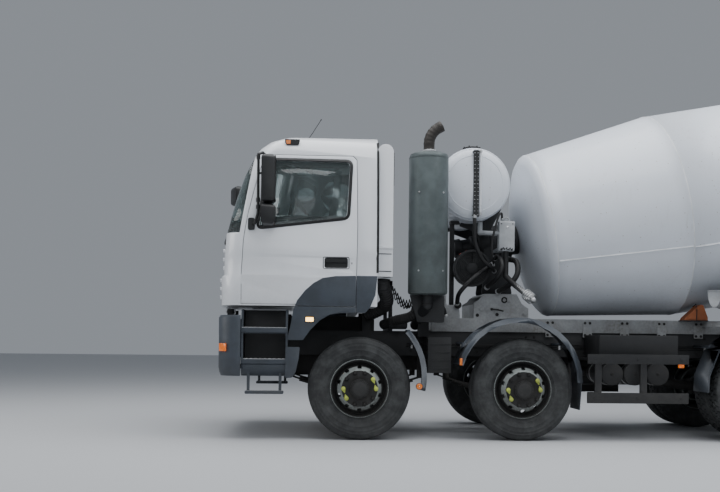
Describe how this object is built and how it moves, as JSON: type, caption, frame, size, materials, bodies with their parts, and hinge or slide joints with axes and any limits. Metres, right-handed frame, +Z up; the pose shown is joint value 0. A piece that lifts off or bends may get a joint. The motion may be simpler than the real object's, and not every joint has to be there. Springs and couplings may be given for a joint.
{
  "type": "concrete mixer truck",
  "caption": "Cab-over truck with twin steered axles and driven twin-wheel axles, carrying an inclined mixer drum with water tank, feed hopper and swinging discharge chute.",
  "frame": {"origin": "on the ground, at the bottom centre of the whole truck's bounding box", "axes": "+X forward, +Y to the truck's left, +Z up"},
  "size_m": [9.2849, 2.95, 3.95],
  "materials": {
    "cab_paint": "gloss",
    "drum_paint": "satin",
    "frame_paint": "satin",
    "grey_plastic": "satin",
    "dark_plastic": "matt",
    "silencer_paint": "satin",
    "wheel_steel": "satin",
    "tyre": "matt",
    "cast_iron": "rough",
    "aluminium": "brushed",
    "chrome": "polished",
    "glass": "clear",
    "lamp": "clear lens",
    "seat_cloth": "woven"
  },
  "bodies": {
    "chassis": {"frame_rails": "frame_paint", "bumper": "grey_plastic", "lamps": "lamp", "steps": "grey_plastic", "fenders": "grey_plastic", "side_guards": "frame_paint", "side_tanks": "frame_paint", "engine": "cast_iron", "axles": "cast_iron", "leaf_springs": "cast_iron", "silencer": "silencer_paint", "mixer_frame": "drum_paint", "drum_drive": "frame_paint", "water_tank": "drum_paint", "water_pipes": "aluminium", "feed_hopper": "drum_paint", "discharge_funnel": "drum_paint", "ladder": "frame_paint", "spare_chute": "drum_paint"},
    "drum": {"drum": "drum_paint"},
    "roller_left": {"roller_left": "frame_paint"},
    "roller_right": {"roller_right": "frame_paint"},
    "chute_head": {"chute_swivel": "frame_paint"},
    "chute": {"chute_trough": "drum_paint"},
    "flap": {"chute_flap": "drum_paint"},
    "lift_barrel": {"lift_barrel": "frame_paint"},
    "lift_rod": {"lift_rod": "chrome"},
    "cab": {"cab_shell": "cab_paint", "windscreen": "glass", "dashboard": "dark_plastic", "seats": "seat_cloth", "steering_wheel": "dark_plastic", "intake_duct": "cab_paint", "front_mirror": "dark_plastic"},
    "door_left": {"door_left": "cab_paint", "glass_left": "glass", "mirror_left": "dark_plastic"},
    "door_right": {"door_right": "cab_paint", "glass_right": "glass", "mirror_right": "dark_plastic"},
    "knuckle_1_left": {"knuckle_1_left": "cast_iron"},
    "knuckle_1_right": {"knuckle_1_right": "cast_iron"},
    "knuckle_2_left": {"knuckle_2_left": "cast_iron"},
    "knuckle_2_right": {"knuckle_2_right": "cast_iron"},
    "wheel_1_left": {"tyre_1_left": "tyre", "rim_1_left": "wheel_steel"},
    "wheel_1_right": {"tyre_1_right": "tyre", "rim_1_right": "wheel_steel"},
    "wheel_2_left": {"tyre_2_left": "tyre", "rim_2_left": "wheel_steel"},
    "wheel_2_right": {"tyre_2_right": "tyre", "rim_2_right": "wheel_steel"},
    "wheel_3_left": {"tyre_3_left": "tyre", "rim_3_left": "wheel_steel"},
    "wheel_3_right": {"tyre_3_right": "tyre", "rim_3_right": "wheel_steel"},
    "wheel_4_left": {"tyre_4_left": "tyre", "rim_4_left": "wheel_steel"},
    "wheel_4_right": {"tyre_4_right": "tyre", "rim_4_right": "wheel_steel"}
  },
  "joints": [
    {"name": "steer_1_left", "type": "hinge", "parent": "chassis", "child": "knuckle_1_left", "pos_m": [3.1476, 0.93, 0.533], "axis": [0, 0, 1], "range_deg": [-38, 38]},
    {"name": "roll_1_left", "type": "hinge", "parent": "knuckle_1_left", "child": "wheel_1_left", "pos_m": [3.1476, 1.017, 0.533], "axis": [0, 1, 0], "continuous": true},
    {"name": "steer_1_right", "type": "hinge", "parent": "chassis", "child": "knuckle_1_right", "pos_m": [3.1476, -0.93, 0.533], "axis": [0, 0, 1], "range_deg": [-38, 38]},
    {"name": "roll_1_right", "type": "hinge", "parent": "knuckle_1_right", "child": "wheel_1_right", "pos_m": [3.1476, -1.017, 0.533], "axis": [0, 1, 0], "continuous": true},
    {"name": "steer_2_left", "type": "hinge", "parent": "chassis", "child": "knuckle_2_left", "pos_m": [1.4476, 0.93, 0.533], "axis": [0, 0, 1], "range_deg": [-25, 25]},
    {"name": "roll_2_left", "type": "hinge", "parent": "knuckle_2_left", "child": "wheel_2_left", "pos_m": [1.4476, 1.017, 0.533], "axis": [0, 1, 0], "continuous": true},
    {"name": "steer_2_right", "type": "hinge", "parent": "chassis", "child": "knuckle_2_right", "pos_m": [1.4476, -0.93, 0.533], "axis": [0, 0, 1], "range_deg": [-25, 25]},
    {"name": "roll_2_right", "type": "hinge", "parent": "knuckle_2_right", "child": "wheel_2_right", "pos_m": [1.4476, -1.017, 0.533], "axis": [0, 1, 0], "continuous": true},
    {"name": "roll_3_left", "type": "hinge", "parent": "chassis", "child": "wheel_3_left", "pos_m": [-1.1024, 0.912, 0.533], "axis": [0, 1, 0], "continuous": true},
    {"name": "roll_3_right", "type": "hinge", "parent": "chassis", "child": "wheel_3_right", "pos_m": [-1.1024, -0.912, 0.533], "axis": [0, 1, 0], "continuous": true},
    {"name": "roll_4_left", "type": "hinge", "parent": "chassis", "child": "wheel_4_left", "pos_m": [-2.4524, 0.912, 0.533], "axis": [0, 1, 0], "continuous": true},
    {"name": "roll_4_right", "type": "hinge", "parent": "chassis", "child": "wheel_4_right", "pos_m": [-2.4524, -0.912, 0.533], "axis": [0, 1, 0], "continuous": true},
    {"name": "drum_turn", "type": "hinge", "parent": "chassis", "child": "drum", "pos_m": [1.3376, 0, 2.203], "axis": [-0.9848, 0, 0.1736], "continuous": true},
    {"name": "roller_turn_left", "type": "hinge", "parent": "chassis", "child": "roller_left", "pos_m": [-2.75209, 0.54143, 2.04428], "axis": [-0.9848, 0, 0.1736], "continuous": true},
    {"name": "roller_turn_right", "type": "hinge", "parent": "chassis", "child": "roller_right", "pos_m": [-2.75209, -0.54143, 2.04428], "axis": [-0.9848, 0, 0.1736], "continuous": true},
    {"name": "chute_swing", "type": "hinge", "parent": "chassis", "child": "chute_head", "pos_m": [-3.5324, 0, 1.2], "axis": [0, 0, 1], "range_deg": [-90, 90]},
    {"name": "chute_lift", "type": "hinge", "parent": "chute_head", "child": "chute", "pos_m": [-3.5324, 0, 1.78], "axis": [0, 1, 0], "range_deg": [-16, 8]},
    {"name": "flap_fold", "type": "hinge", "parent": "chute", "child": "flap", "pos_m": [-4.60068, 0, 1.53838], "axis": [0, -1, 0], "range_deg": [0, 180]},
    {"name": "cylinder_pivot", "type": "hinge", "parent": "chute_head", "child": "lift_barrel", "pos_m": [-3.6424, 0, 0.94], "axis": [0, 1, 0], "range_deg": [-7, 4]},
    {"name": "cylinder_stroke", "type": "slide", "parent": "lift_barrel", "child": "lift_rod", "axis": [-0.8159, 0, 0.5782], "range_m": [-0.23, 0.12]},
    {"name": "cab_tilt", "type": "hinge", "parent": "chassis", "child": "cab", "pos_m": [4.5576, 0, 1.335], "axis": [0, 1, 0], "range_deg": [0, 60]},
    {"name": "door_left", "type": "hinge", "parent": "cab", "child": "door_left", "pos_m": [4.3656, 1.223, 1.7], "axis": [0, 0, -1], "range_deg": [0, 70]},
    {"name": "door_right", "type": "hinge", "parent": "cab", "child": "door_right", "pos_m": [4.3656, -1.223, 1.7], "axis": [0, 0, 1], "range_deg": [0, 70]}
  ],
  "couplings": [
    {"joint": "steer_1_right", "follows": "steer_1_left", "ratio": 1},
    {"joint": "steer_2_left", "follows": "steer_1_left", "ratio": 0.65},
    {"joint": "steer_2_right", "follows": "steer_1_left", "ratio": 0.65},
    {"joint": "roller_turn_left", "follows": "drum_turn", "ratio": -7.5119},
    {"joint": "roller_turn_right", "follows": "drum_turn", "ratio": -7.5119},
    {"joint": "cylinder_pivot", "follows": "chute_lift", "ratio": 0.38},
    {"joint": "cylinder_stroke", "follows": "chute_lift", "m_per_rad": 0.76}
  ]
}
